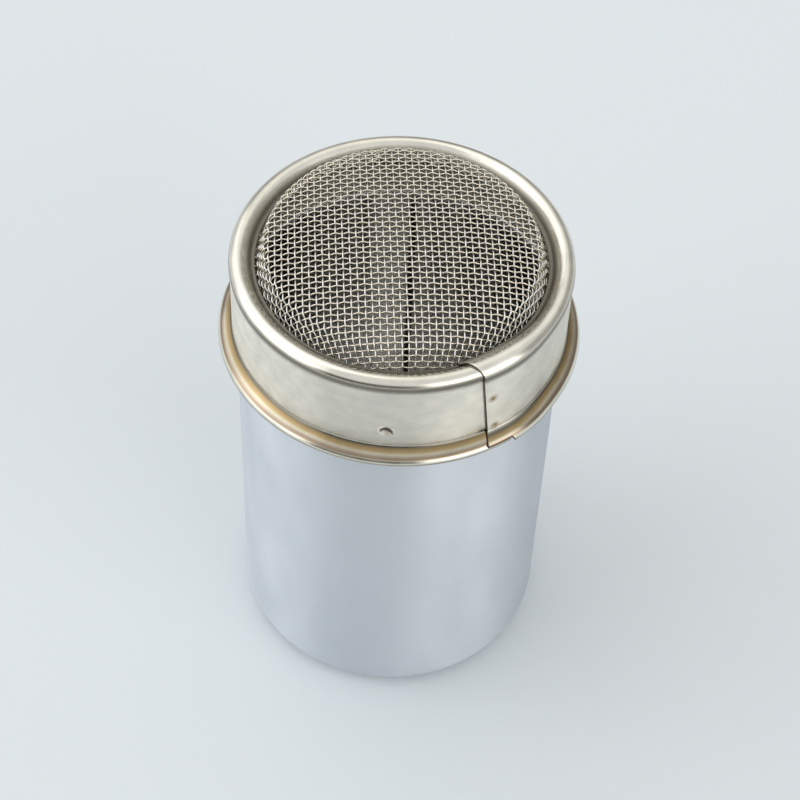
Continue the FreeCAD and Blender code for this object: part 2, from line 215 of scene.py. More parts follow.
def add_node(tree, kind, inputs=(), **settings):
    """Add a node, set its settings, and fill or link its inputs, given by name or in their order.

    A node given as an input stands for its first output in use."""
    node = tree.nodes.new(kind)
    for name, value in settings.items():
        setattr(node, name, value)
    for key, value in inputs.items() if isinstance(inputs, dict) else enumerate(inputs):
        if isinstance(value, bpy.types.Node):
            value = next(output for output in value.outputs if output.enabled)
        if isinstance(value, bpy.types.NodeSocket):
            tree.links.new(value, node.inputs[key])
        else:
            node.inputs[key].default_value = value
    return node


def new_material(name):
    """A material with an empty node tree, and that tree."""
    material = bpy.data.materials.new(name)
    material.use_nodes = True
    material.node_tree.nodes.clear()
    return material, material.node_tree


def bare_steel(tree, tint, gloss, grain=None, depth=0.0, strength=0.0, anisotropy=0.0):
    """Bare steel: metal at the default IOR, with a grain of a real depth as relief.

    Anisotropic steel has its grain round the axis, so its highlights spread up and down."""
    inputs = {"Base Color": tint, "Metallic": 1.0, "Roughness": gloss, "Anisotropic": anisotropy}
    if grain is not None:
        inputs["Normal"] = add_node(tree, "ShaderNodeBump", {
            "Height": grain, "Distance": depth, "Strength": strength,
        })
    if anisotropy:
        # A quarter turn off the round tangent
        inputs["Anisotropic Rotation"] = 0.25
        inputs["Tangent"] = add_node(tree, "ShaderNodeTangent", direction_type="RADIAL", axis="Z")
    shader = add_node(tree, "ShaderNodeBsdfPrincipled", inputs)
    add_node(tree, "ShaderNodeOutputMaterial", {"Surface": shader})
    return shader


def noise_at(tree, size, stretch=(1.0, 1.0, 1.0), detail=2.0):
    """Noise on object coordinates whose grain is about size across, stretched along an axis."""
    scaled = add_node(tree, "ShaderNodeMapping", {
        "Vector": add_node(tree, "ShaderNodeTexCoord").outputs["Object"],
        "Scale": [1 / (size * factor) for factor in stretch],
    }, vector_type="POINT")
    return add_node(tree, "ShaderNodeTexNoise", {
        "Vector": scaled, "Scale": 1.0, "Detail": detail,
    }).outputs["Fac"]


def layered(tree, base, *layers):
    """Lay colours over a base one after the other, each as far as its factor says."""
    for factor, over in layers:
        base = add_node(tree, "ShaderNodeMix", {
            "Factor": factor, "A": base, "B": over,
        }, data_type="RGBA")
    return base


def swung(tree, tint, noise, low, high):
    """A colour that swings with noise between two shares of the tint."""
    dark, light = [[min(part * scale, 1.0) for part in tint] for scale in (low, high)]
    swing = add_node(tree, "ShaderNodeMapRange", (noise, *NOISE_RANGE))
    return layered(tree, (*dark, 1.0), (swing, (*light, 1.0)))


def banded(tree, value, low, high, stops):
    """Colours laid in bands over a range of a value; a stop is its place in that range and its colour."""
    across = add_node(tree, "ShaderNodeMapRange", (value, low, high))
    bands = add_node(tree, "ShaderNodeValToRGB", (across,))
    ramp = bands.color_ramp.elements
    while len(ramp) < len(stops):
        ramp.new(0.5)
    for stop, (place, code) in zip(ramp, stops):
        stop.position = (place - low) / (high - low)
        stop.color = paint(code)
    return bands


def near(tree, angle_now, middle, half, blur):
    """1 while an angle is within half of the middle, falling to 0 over the blur; these in degrees."""
    away = add_node(tree, "ShaderNodeMath", (angle_now, radians(middle)), operation="SUBTRACT")
    away = add_node(tree, "ShaderNodeMath", (away, pi, -pi), operation="WRAP")
    away = add_node(tree, "ShaderNodeMath", (away,), operation="ABSOLUTE")
    return add_node(tree, "ShaderNodeMapRange", (
        away, radians(half + blur), radians(half),
    ), interpolation_type="SMOOTHSTEP")


# Materials

# Roughness between which each finish varies
GLOSS = {
    "satin": (0.4, 0.46),
    "as drawn": (0.2, 0.34),
    "burnished": (0.16, 0.23),
    "brushed": (0.38, 0.46),
    "wire": (0.18, 0.32),
    "ring": (0.28, 0.4),
}
PRESSED_GLOSS = 0.75
WELD_GLOSS = 0.34
ANISOTROPY = 0.8

# Heights between which painted light makes the cup's inside brighter towards its base, and of the painted
# highlight on its trimmed lip
PAINTED_LIGHT_BASE = (62 * MM, 26 * MM)
LIP_HIGHLIGHT = (CUP_HIGH.z - 0.7 * MM, CUP_HIGH.z - 0.5 * MM)

# Middle, half width and blur in degrees of a painted reflection at the back: a bright patch, and a dark line
# beside it
PAINTED_REFLECTION_PATCH = (-5, 5, 4)
PATCH_COVER = 0.8
PAINTED_REFLECTION_LINE = (3.4, 0.8, 1.0)


def satin_drawn_steel(tint, inner_tint):
    """Stainless steel, deep drawn, then satin polished outside: soft upright bands of light.

    The inside is left as drawn: darker and glossier, in streaks where the punch slid. Painted light makes it
    brighter towards the base, a painted reflection lays a bright patch and a dark line at the back, and a
    painted highlight lies on the trimmed lip."""
    material, tree = new_material("satin drawn steel")
    place = add_node(tree, "ShaderNodeTexCoord").outputs["Object"]
    x, y, height = add_node(tree, "ShaderNodeSeparateXYZ", (place,)).outputs
    inside = add_node(tree, "ShaderNodeAttribute", attribute_name="inside").outputs["Fac"]
    # Polishing lines, 0.4 mm apart where real ones are finer, so that the render still holds them
    lines = noise_at(tree, 0.4 * MM, (30.0, 30.0, 1.0), 3.0)
    clouds = noise_at(tree, 9 * MM, (1.0, 1.0, 2.5))
    streaks = noise_at(tree, 3.5 * MM, (1.0, 1.0, 16.0), 3.0)
    gloss = add_node(tree, "ShaderNodeMix", {
        "Factor": inside,
        "A": add_node(tree, "ShaderNodeMapRange", (clouds, *NOISE_RANGE, *GLOSS["satin"])),
        "B": add_node(tree, "ShaderNodeMapRange", (streaks, *NOISE_RANGE, *GLOSS["as drawn"])),
    })
    bright = paint("F1F0EE")
    # Painted light: the inside turns brighter towards the base
    deep = add_node(tree, "ShaderNodeMapRange", (height, *PAINTED_LIGHT_BASE))
    # A painted reflection: the bright patch and the dark line beside it
    turn = add_node(tree, "ShaderNodeMath", (x, y), operation="ARCTAN2")
    patch = add_node(tree, "ShaderNodeMath", (near(tree, turn, *PAINTED_REFLECTION_PATCH), PATCH_COVER), operation="MULTIPLY")
    reflection_line = near(tree, turn, *PAINTED_REFLECTION_LINE)
    inner = swung(tree, inner_tint, streaks, 0.4, 1.4)
    inner = layered(tree, inner, (deep, bright), (patch, bright), (reflection_line, paint("3E3B38")))
    # Painted highlight along the trimmed lip
    trimmed = add_node(tree, "ShaderNodeMapRange", (height, *LIP_HIGHLIGHT))
    outer = swung(tree, tint, clouds, 0.97, 1.02)
    coloured = layered(tree, outer, (inside, inner), (trimmed, bright))
    shader = bare_steel(tree, coloured, gloss, lines, 0.004 * MM, 0.6, ANISOTROPY)
    shader.inputs["Specular Tint"].default_value = paint("D6D9DE")
    return material


# Colours painted on the strip, by height above its lowest edge in millimetres: painted reflections, a painted
# highlight and painted shade in straw, cream and brown bands along the brim, a painted dark line of shade in
# its root, and a painted grey band of shade where the bead tucks in
PAINTED_BAND_SHADING = (
    (0.0, "DCD8CA"), (0.35, "9C978B"), (0.6, "F0ECDE"), (1.0, "F0ECDC"), (1.25, "A08E78"),
    (1.38, "9A8872"), (1.52, "A89A8C"), (1.7, "C4BBA8"), (1.82, "C8BFA6"), (1.95, "B8A682"),
    (2.1, "A8926C"), (2.28, "9C8862"), (2.42, "7E7058"), (2.5, "6A655C"), (2.65, "8C877C"),
    (2.85, "D8D5CA"), (3.2, "EAE7DC"), (17.0, "EAE7DC"), (17.6, "C4BFB2"), (18.0, "9E998B"),
    (18.35, "7C786F"), (18.65, "837F74"), (18.95, "A49F93"), (19.3, "D8D3C6"), (19.7, "EAE7DC"),
)
BANDS_TOP = 21 * MM

# White where the strip is brushed: the wall by that height, the bead's slope by its radius
BRUSHED_WALL = (
    (0.0, "000000"), (3.0 * MM, "000000"), (3.8 * MM, "FFFFFF"), (16.6 * MM, "FFFFFF"),
    (17.8 * MM, "000000"),
)
BRUSHED_SLOPE = (29.7 * MM, 29.0 * MM)

# White where a weld's heat left its halo, by the way from its middle, and the tints of its rings
WELD_HALO = ((0.0, "000000"), (0.6 * MM, "303030"), (0.85 * MM, "B8B8B8"), (1.15 * MM, "000000"))
HALO_REACH = 1.4 * MM
WELD_TINTS = ((0.0, "9A9184"), (0.45, "A08D70"), (0.75, "C2A678"), (1.0, "D0C8B6"))


def bright_rolled_steel(welds):
    """Cold-rolled stainless strip: its wall brushed by wear, its bead and brim burnished by rollers."""
    material, tree = new_material("bright rolled steel")
    place = add_node(tree, "ShaderNodeTexCoord").outputs["Object"]
    height = add_node(tree, "ShaderNodeSeparateXYZ", (place,)).outputs[2]
    above = add_node(tree, "ShaderNodeMath", (height, BAND_LOW.z), operation="SUBTRACT")
    level = add_node(tree, "ShaderNodeVectorMath", (place, (1.0, 1.0, 0.0)), operation="MULTIPLY")
    radius = add_node(tree, "ShaderNodeVectorMath", (level,), operation="LENGTH")
    mottle = noise_at(tree, 2.2 * MM, (1.6, 1.6, 1.0), 4.0)
    smudges = noise_at(tree, 7 * MM, (1.0, 1.0, 1.6), 3.0)
    rubs = noise_at(tree, 0.35 * MM, (14.0, 14.0, 1.0), 3.0)
    # Painted reflections, highlight and shade, laid in bands along the brim and under the bead
    tinted = banded(tree, above, 0.0, BANDS_TOP, [(at * MM, code) for at, code in PAINTED_BAND_SHADING])
    for noise, worn, clean in ((mottle, 0.9, 1.03), (smudges, 0.93, 1.03)):
        wear = add_node(tree, "ShaderNodeMapRange", (noise, *NOISE_RANGE, worn, clean))
        tinted = add_node(tree, "ShaderNodeVectorMath", {0: tinted, "Scale": wear}, operation="SCALE")
    # A weld's heat leaves a faint brown halo, and painted shade darkens the cut edges, the trimmed brim's end
    # and a bow in each dimple
    for weld in welds:
        away = add_node(tree, "ShaderNodeVectorMath", (place, weld), operation="DISTANCE")
        halo = banded(tree, away, 0.0, HALO_REACH, WELD_HALO)
        tinted = layered(tree, tinted, (halo, paint("8E8076")))
    # Painted shade in dark brown, at the cut edges and in a bow under each dimple's middle
    painted_shade, pressed = [
        add_node(tree, "ShaderNodeAttribute", attribute_name=name).outputs["Fac"]
        for name in ("painted_shade", "pressed")
    ]
    tinted = layered(tree, tinted, (painted_shade, paint("4A4034")))
    # The wall and the slope inside the bead are brushed, and the dimples are dull
    wall = banded(tree, above, 0.0, BANDS_TOP, BRUSHED_WALL)
    slope = add_node(tree, "ShaderNodeMapRange", (radius, *BRUSHED_SLOPE))
    gloss = add_node(tree, "ShaderNodeMix", {
        "Factor": add_node(tree, "ShaderNodeMath", (wall, slope), operation="MAXIMUM"),
        "A": add_node(tree, "ShaderNodeMapRange", (mottle, *NOISE_RANGE, *GLOSS["burnished"])),
        "B": add_node(tree, "ShaderNodeMapRange", (mottle, *NOISE_RANGE, *GLOSS["brushed"])),
    })
    gloss = add_node(tree, "ShaderNodeMix", {"Factor": pressed, "A": gloss, "B": PRESSED_GLOSS})
    bare_steel(tree, tinted, gloss, rubs, 0.003 * MM, 0.6, ANISOTROPY)
    return material


def drawn_wire_steel(name, tint):
    """Bright drawn stainless wire: smooth, with small changes of gloss along it."""
    material, tree = new_material(name)
    patches = noise_at(tree, 0.8 * MM, detail=3.0)
    gloss = add_node(tree, "ShaderNodeMapRange", (patches, *NOISE_RANGE, *GLOSS["wire"]))
    bare_steel(tree, swung(tree, tint, patches, 0.9, 1.02), gloss)
    return material


def stamped_ring_steel(tint):
    """Stamped stainless ring: duller than the band, with a fine grain."""
    material, tree = new_material("stamped ring steel")
    grain = noise_at(tree, 0.5 * MM, detail=4.0)
    gloss = add_node(tree, "ShaderNodeMapRange", (grain, *NOISE_RANGE, *GLOSS["ring"]))
    bare_steel(tree, (*tint, 1.0), gloss, grain, 0.006 * MM, 0.5)
    return material


def heat_tinted_steel():
    """Steel under a spot weld: grey in the middle, then rings of brown and straw tint."""
    material, tree = new_material("heat tinted steel")
    across = add_node(tree, "ShaderNodeUVMap", uv_map="from_centre")
    away = add_node(tree, "ShaderNodeSeparateXYZ", (across,)).outputs[0]
    grain = noise_at(tree, 0.12 * MM, detail=3.0)
    bare_steel(tree, banded(tree, away, 0.0, 1.0, WELD_TINTS), WELD_GLOSS, grain, 0.01 * MM, 0.5)
    return material


# Mesh helpers

SHARP_EDGE = radians(38)
BEND_STEP = radians(7.5)


def new_object(name, data):
    """Link a new object into the scene."""
    thing = bpy.data.objects.new(name, data)
    bpy.context.scene.collection.objects.link(thing)
    return thing


def new_piece(name, mesh, material, body, slot, *nodes):
    """Put a finished mesh in the scene as a piece that rides on a body and replaces nodes."""
    piece = new_object(name, mesh)
    mesh.materials.append(material)
    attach(piece, body)
    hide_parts(*nodes)


def smooth_mesh(name, vertices, faces):
    """A mesh with smooth faces and sharp creases."""
    mesh = bpy.data.meshes.new(name)
    mesh.from_pydata(vertices, [], faces)
    mesh.validate()
    mesh.shade_smooth()
    mesh.set_sharp_from_angle(angle=SHARP_EDGE)
    mesh.update()
    return mesh


def arc(centre_r, centre_z, radius, start, end):
    """Points of an arc in the section plane, angles counted from the outward direction."""
    count = max(2, ceil(abs(end - start) / BEND_STEP))
    turns = [start + (end - start) * index / count for index in range(count + 1)]
    return [(centre_r + radius * cos(turn), centre_z + radius * sin(turn)) for turn in turns]


def turned_mesh(name, outline, segments, loop):
    """Turn an outline of (radius, height) points about the axis; points on the axis become poles."""
    vertices, rings = [], []
    for radius, height in outline:
        if radius == 0:
            rings.append([len(vertices)] * segments)
            vertices.append((0.0, 0.0, height))
            continue
        rings.append(range(len(vertices), len(vertices) + segments))
        for index in range(segments):
            turn = tau * index / segments
            vertices.append((radius * cos(turn), radius * sin(turn), height))
    faces = []
    pairs = list(zip(rings, rings[1:]))
    if loop:
        pairs.append((rings[-1], rings[0]))
    for low, high in pairs:
        for index in range(segments):
            after = (index + 1) % segments
            corners = [low[index], low[after], high[after], high[index]]
            faces.append(list(dict.fromkeys(corners)))
    return smooth_mesh(name, vertices, faces)


# Cup

CUP_SEGMENTS = 256


def cup_outline(cup):
    """Section of the cup: from the middle of its base out, up and over the lip; then the inside."""
    outer, inner = cup.radius, cup.radius - cup.wall
    quarter = pi / 2
    outside = [
        (0, 0),
        (outer - 2 * cup.corner, 0),
        *arc(outer - cup.corner, cup.corner, cup.corner, -quarter, 0),
        *arc(outer - cup.lip_round, cup.height - cup.lip_round, cup.lip_round, 0, quarter),
        *arc(inner + cup.lip_round, cup.height - cup.lip_round, cup.lip_round, quarter, pi),
    ]
    inside = [
        (inner, cup.height - 4 * cup.wall),
        *arc(outer - cup.corner, cup.corner, cup.corner - cup.wall, 0, -quarter),
        (outer - 2 * cup.corner, cup.wall),
        (0, cup.wall),
    ]
    return outside, inside


class SHAKER_OT_cup(Operator):
    """Turn the drawn cup from its section"""
    bl_idname = "shaker.cup"
    bl_label = "Cup"

    def execute(self, context):
        cup = context.scene.shaker_cup
        outside, inside = cup_outline(cup)
        mesh = turned_mesh("drawn_cup", outside + inside, CUP_SEGMENTS, False)
        first_inside = 1 + (len(outside) - 1) * CUP_SEGMENTS
        layer = mesh.attributes.new("inside", "FLOAT", "POINT")
        for vertex in mesh.vertices:
            layer.data[vertex.index].value = float(vertex.index >= first_inside)
        material = satin_drawn_steel(cup.tint, cup.inner_tint)
        new_piece("drawn_cup", mesh, material, "cup", "cup_satin_steel", "cup_body")
        return {"FINISHED"}


# Lid band

COARSE_STEP = 1.5 * MM
FINE_STEP = 0.22 * MM
DIMPLE_REACH = 2.2 * MM
LIP_STEPS = 3
BRIM_STEPS = 4
ROLL_STEPS = 8
FOOT_MOVE = 7
BRIM_SLANT = radians(0.3) / MM
ROUND_OFF = 1e-4

# Angles between the grid's columns: at the lap, elsewhere, the least that is left for a last one,
# and how far past a zone's start its first column stands
LAP_STRIDE = radians(0.6)
WIDE_STRIDE = radians(1.5)
LEAST_STRIDE = radians(0.2)
JUST_PAST = 1e-6

# Columns lean with the outer cut edge, less and less, up to this angle before the inner layer's end
SETTLE = radians(1.5)

# Columns over a cut edge's rounding, as parts of it
EDGE_PARTS = (0.0, 0.2, 0.55, 1.0)
# Width of the painted shade along the end of the outer layer's trimmed brim
EDGE_SHADE = 0.3 * MM

# A dent's rim is eased from a share of its radius on, over another share
RIM_FROM, RIM_OVER = 0.93, 0.22
WELD_TOOL = 1.9 * MM

# A dimple's painted shade is a flat bow under its middle: shares of the dimple's radius
BOW_DROP, BOW_BEND, BOW_LEAN = 0.2, 0.16, 0.14
BOW_HALF, BOW_BLUR = 0.2, 0.16
BOW_END, BOW_END_BLUR = 0.85, 0.15
BOW_SHADE = 0.85
PRESSED_FROM, PRESSED_OVER = 0.8, 0.4


def dimple_height(cup, band):
    """Height of a dimple whose underside rests on the cup's lip."""
    outside = cup.radius + band.clearance + band.gauge
    centre = outside + band.dimple_tool - band.dimple_depth
    punch = band.dimple_tool + band.gauge
    return cup.height + band.dimple_play + sqrt(punch**2 - (centre - cup.radius) ** 2)


def step_count(size, step):
    """Number of equal steps, none longer than a step."""
    return max(1, ceil(size / step - ROUND_OFF))


def band_moves(cup, band, trim):
    """Flats and bends of the strip's section from the lip to the brim: amount, turn, steps."""
    foot = cup.height - band.overlap
    dimples = dimple_height(cup, band) - foot
    over = band.wall_height - dimples - DIMPLE_REACH
    under = dimples - DIMPLE_REACH
    quarter = pi / 2
    root = quarter - band.brim_angle
    return (
        (band.lip_flat, 0, LIP_STEPS),
        (band.lip_bend, band.slope_angle, step_count(band.slope_angle, BEND_STEP)),
        (band.slope_flat, 0, step_count(band.slope_flat, COARSE_STEP / 3)),
        (band.bead_bend, -band.slope_angle - quarter - band.neck_angle, ROLL_STEPS),
        (band.neck_bend, band.neck_angle, ROLL_STEPS),
        (over, 0, step_count(over, COARSE_STEP)),
        (2 * DIMPLE_REACH, 0, step_count(2 * DIMPLE_REACH, FINE_STEP)),
        (under, 0, step_count(under, COARSE_STEP)),
        (band.root_bend, root, step_count(root, BEND_STEP)),
        (band.brim_flat, 0, BRIM_STEPS),
        (band.brim_roll, trim / band.brim_roll - band.brim_roll_angle, ROLL_STEPS),
    )


def band_line(cup, band, trim):
    """Mid line of the section: (radius, height, heading, way along it), the wall at its place."""
    line = [(0.0, 0.0, 0.0, 0.0)]
    for number, (amount, turn, count) in enumerate(band_moves(cup, band, trim)):
        r, z, heading, way = line[-1]
        for index in range(1, count + 1):
            part = index / count
            now = heading + turn * part
            if turn:
                bend = amount if turn > 0 else -amount
                across, up = bend * (sin(now) - sin(heading)), bend * (cos(heading) - cos(now))
                gone = amount * abs(turn) * part
            else:
                gone = amount * part
                across, up = gone * cos(heading), gone * sin(heading)
            line.append((r + across, z + up, now, way + gone))
        if number == FOOT_MOVE:
            foot_r, foot_z = line[-1][:2]
    shift_r = cup.radius + band.clearance + band.gauge / 2 - foot_r
    shift_z = cup.height - band.overlap - foot_z
    return [(r + shift_r, z + shift_z, heading, way) for r, z, heading, way in line]


def spot_on(radius, azimuth, height):
    """A point at a radius, an azimuth from the front, and a height."""
    return Vector((radius * sin(azimuth), -radius * cos(azimuth), height))


def lap_edge(cup, band):
    """Function that gives the azimuth of the outer layer's slanted cut edge at (radius, height)."""
    lift = band.gauge + band.lap_gap
    wall = cup.radius + band.clearance + band.gauge / 2 + lift
    foot_z = cup.height - band.overlap
    line = band_line(cup, band, 0)
    lip_r, lip_z = line[LIP_STEPS][:2]
    foot = spot_on(wall, band.lap_foot, foot_z)
    neck = spot_on(wall, band.lap_neck, foot_z + band.wall_height)
    lip = spot_on(lip_r, band.lap_lip, lip_z)
    normal = (neck - foot).cross(lip - foot).normalized()
    flat = hypot(normal.x, normal.y)
    lean = atan2(normal.y, normal.x)
    distance = normal.dot(foot)

    def on_plane(radius, height):
        return lean + pi - asin((distance - normal.z * height) / (radius * flat))

    def azimuth(radius, height):
        if height > foot_z:
            return on_plane(radius, height)
        return asin(wall * sin(band.lap_foot) / radius) + BRIM_SLANT * (radius - wall)

    return azimuth


def eased(value):
    """Smooth step from 0 to 1."""
    value = min(max(value, 0.0), 1.0)
    return value * value * (3 - 2 * value)


def fading(value, start, over):
    """1 up to the start, then a smooth fall to 0."""
    return 1 - eased((value - start) / over)


def azimuth_stops(band):
    """Azimuths of the grid's columns, close together where the sheet has detail."""
    fine = FINE_STEP / CUP_HIGH.x
    reach = DIMPLE_REACH / CUP_HIGH.x
    zones = [(band.lap_lip, band.lap_down, LAP_STRIDE)]
    for index in range(-1, band.dimples + 1):
        centre = band.dimple_angle + tau * index / band.dimples
        zones.append((centre - reach, centre + reach, fine))
    stops = [band.lap_lip]
    end = tau + band.lap_end
    while stops[-1] < end - LEAST_STRIDE:
        here = stops[-1]
        inside = [step for low, high, step in zones if low <= here <= high]
        ahead = [low - here + JUST_PAST for low, high, step in zones if low > here]
        stride = min(inside) if inside else min([WIDE_STRIDE, *ahead])
        stops.append(min(here + stride, end))
    return stops


def thickness_at(band, distance):
    """Half the sheet's thickness at a distance from a cut edge, which is rounded."""
    half, rounding = band.gauge / 2, band.edge_round
    if distance >= rounding:
        return half
    return half - rounding + sqrt(max(rounding**2 - (rounding - distance) ** 2, 0.0))


def dent_at(distance, tool, depth):
    """Depth of a round-nosed dent at a distance from its middle, its rim eased."""
    rim = sqrt(tool**2 - (tool - depth) ** 2)
    deep = sqrt(tool**2 - min(distance, rim * RIM_FROM) ** 2) - (tool - depth)
    return deep * fading(distance / rim, RIM_FROM, RIM_OVER)


def shade_and_press(marks, radius, azimuth, height):
    """How much painted shade and how pressed the sheet is near the dimples: painted shade in a dark bow under
    each middle.
    """
    shade_share, pressed = 0.0, 0.0
    for place, middle, tool, depth in marks:
        reach = tool - depth / 2
        aside, up = (azimuth - place) * radius / reach, (height - middle) / reach
        pressed = max(pressed, fading(hypot(aside, up), PRESSED_FROM, PRESSED_OVER))
        off = abs(up + BOW_DROP + BOW_BEND * aside**2 + BOW_LEAN * aside)
        bow = fading(off, BOW_HALF, BOW_BLUR) * fading(abs(aside), BOW_END, BOW_END_BLUR)
        shade_share = max(shade_share, BOW_SHADE * bow)
    return shade_share, pressed


def band_mesh(cup, band, welds):
    """The strip as a grid of columns round the axis, closed round its cut edges."""
    cut = lap_edge(cup, band)
    radius_mid = cup.radius + band.clearance + band.gauge / 2
    settle_at = band.lap_end - SETTLE
    insets = [band.edge_round * part for part in EDGE_PARTS]
    dimple_z = dimple_height(cup, band)
    dimples = [
        (band.dimple_angle + tau * index / band.dimples, dimple_z, band.dimple_tool, band.dimple_depth)
        for index in range(-1, band.dimples + 1)
    ]
    weld_dents = [(*place, WELD_TOOL, welds.depth) for place in weld_places(cup, band, welds)]
    plan = [(band.lap_lip, inset) for inset in insets]
    plan += [(stop, None) for stop in azimuth_stops(band)[1:]]
    plan += [(tau + band.lap_end, inset) for inset in reversed(insets)]
    columns, shade_values, press = [], [], []
    for base, inset in plan:
        raised = fading(base, band.lap_clear, band.lap_down - band.lap_clear)
        lift = (band.gauge + band.lap_gap) * raised
        line = band_line(cup, band, band.lap_trim * fading(base, band.lap_end, band.lap_notch))
        whole = line[-1][3]
        side = MM if inset is None else inset
        trimmed = EDGE_SHADE if base < band.lap_end + band.lap_notch else 0.0
        dents = dimples + weld_dents if raised == 1 else dimples
        column = []
        for r, z, heading, way in line:
            azimuth = base
            if base < settle_at:
                edge = cut(r - lift * sin(heading), z + lift * cos(heading))
                start = edge + min(side, insets[-1]) / radius_mid
                part = (base - band.lap_lip) / (settle_at - band.lap_lip)
                azimuth = start + part * (settle_at - start)
            elif inset is not None:
                azimuth = base - inset / radius_mid
            dent = 0.0
            for place, height, tool, depth in dents:
                distance = hypot((azimuth - place) * radius_mid, z - height)
                if distance < tool:
                    dent += dent_at(distance, tool, depth)
            # Painted shade in a bow under each dimple's middle
            shade_share, pressed = shade_and_press(dimples, radius_mid, azimuth, z)
            # Painted shade on the cut edges' faces and along the trimmed brim's end, where the lap casts its
            # shadow
            if side < band.edge_round / 2 or whole - way < trimmed:
                shade_share = 1.0
            shade_values += [shade_share, shade_share]
            press += [pressed, pressed]
            half = thickness_at(band, min(side, way, whole - way))
            pair = []
            for out in (lift + half - dent, lift - half - dent):
                pair.append(spot_on(r - out * sin(heading), azimuth, z + out * cos(heading)))
            column.append(pair)
        columns.append(column)
    mesh = grid_shell("rolled_lid_band", columns)
    for name, values in (("painted_shade", shade_values), ("pressed", press)):
        mesh.attributes.new(name, "FLOAT", "POINT").data.foreach_set("value", values)
    return mesh


def grid_shell(name, columns):
    """Closed shell from a grid of (outer, inner) point pairs."""
    rows = len(columns[0])
    vertices = [point for column in columns for pair in column for point in pair]

    def at(column, row, side):
        return (column * rows + row) * 2 + side

    faces = []
    for column in range(len(columns) - 1):
        for row in range(rows - 1):
            quad = [(column, row), (column, row + 1), (column + 1, row + 1), (column + 1, row)]
            faces.append([at(*corner, 0) for corner in quad])
            faces.append([at(*corner, 1) for corner in (quad[0], *quad[:0:-1])])
        for row, flip in ((0, False), (rows - 1, True)):
            rim = [at(column, row, 0), at(column + 1, row, 0), at(column + 1, row, 1), at(column, row, 1)]
            faces.append(rim[::-1] if flip else rim)
    for column, flip in ((0, True), (len(columns) - 1, False)):
        for row in range(rows - 1):
            rim = [at(column, row, 0), at(column, row + 1, 0), at(column, row + 1, 1), at(column, row, 1)]
            faces.append(rim[::-1] if flip else rim)
    return smooth_mesh(name, vertices, faces)


class SHAKER_OT_band(Operator):
    """Roll the lid's band from one strip, with its lap joint and stop dimples"""
    bl_idname = "shaker.band"
    bl_label = "Lid band"

    def execute(self, context):
        scene = context.scene
        cup, band, welds = scene.shaker_cup, scene.shaker_band, scene.shaker_welds
        surface = raised_radius(cup, band)
        spots = [spot_on(surface, *place) for place in weld_places(cup, band, welds)]
        material = bright_rolled_steel(spots)
        mesh = band_mesh(cup, band, welds)
        new_piece("rolled_lid_band", mesh, material, "lid", "lid_rolled_steel", "lid_band")
        return {"FINISHED"}


# Spot welds

WELD_RINGS = 10
WELD_SEGMENTS = 32
WELD_PROUD = 0.012 * MM
WELD_SWELL = 0.03 * MM
WELD_RIM = -0.02 * MM


def raised_radius(cup, band):
    """Outside radius of the lap's raised layer."""
    return cup.radius + band.clearance + 2 * band.gauge + band.lap_gap


def weld_places(cup, band, welds):
    """Azimuth and height of each weld's middle."""
    foot = cup.height - band.overlap
    return (
        (welds.low_angle, foot + welds.low_height),
        (welds.high_angle, foot + welds.high_height),
    )


def weld_mesh(cup, band, welds):
    """Two shallow dented discs that lie on the raised layer of the lap."""
    surface = raised_radius(cup, band)
    vertices, faces, shares = [], [], []
    for azimuth, height in weld_places(cup, band, welds):
        start = len(vertices)
        for ring in range(WELD_RINGS + 1):
            part = ring / WELD_RINGS
            away = welds.radius * part
            dent = dent_at(away, WELD_TOOL, welds.depth)
            proud = WELD_PROUD + WELD_SWELL * sin(pi * part) ** 2 if ring < WELD_RINGS else WELD_RIM
            for index in range(WELD_SEGMENTS if ring else 1):
                turn = tau * index / WELD_SEGMENTS
                across, up = away * cos(turn), away * sin(turn)
                vertices.append(spot_on(surface - dent + proud, azimuth + across / surface, height + up))
                shares.append(part)
        back = len(vertices)
        vertices.append(spot_on(surface - band.gauge / 2, azimuth, height))
        shares.append(1.0)
        for index in range(WELD_SEGMENTS):
            after = (index + 1) % WELD_SEGMENTS
            faces.append([start, start + 1 + index, start + 1 + after])
            for ring in range(WELD_RINGS - 1):
                low = start + 1 + ring * WELD_SEGMENTS
                high = low + WELD_SEGMENTS
                faces.append([low + index, high + index, high + after, low + after])
            rim = start + 1 + (WELD_RINGS - 1) * WELD_SEGMENTS
            faces.append([rim + after, rim + index, back])
    mesh = smooth_mesh("weld_marks", vertices, faces)
    layer = mesh.uv_layers.new(name="from_centre")
    for loop in mesh.loops:
        layer.data[loop.index].uv = (shares[loop.vertex_index], 0.0)
    return mesh


class SHAKER_OT_welds(Operator):
    """Add the two spot welds of the lap joint"""
    bl_idname = "shaker.welds"
    bl_label = "Spot welds"

    def execute(self, context):
        scene = context.scene
        mesh = weld_mesh(scene.shaker_cup, scene.shaker_band, scene.shaker_welds)
        new_piece("weld_marks", mesh, heat_tinted_steel(), "lid", "weld_steel", "seam_spot_welds")
        return {"FINISHED"}


# Clamp ring

RING_SEGMENTS = 192


def ring_outline(ring):
    """Section of the ring: a flat under the cloth and a skirt against the band."""
    edge, top, low = RING_HIGH.x, RING_HIGH.z, RING_LOW.z
    bore, inner, under = edge - ring.flat, edge - ring.gauge, top - ring.gauge
    rounding, bend = ring.edge_round, ring.gauge
    quarter = pi / 2
    return [
        *arc(bore + rounding, under + rounding, rounding, pi + quarter, pi),
        *arc(bore + rounding, top - rounding, rounding, pi, quarter),
        *arc(edge - bend, top - bend, bend, quarter, 0),
        *arc(edge - rounding, low + rounding, rounding, 0, -quarter),
        *arc(inner + rounding, low + rounding, rounding, -quarter, -pi),
        (inner, under - rounding),
        (inner - rounding, under),
    ]


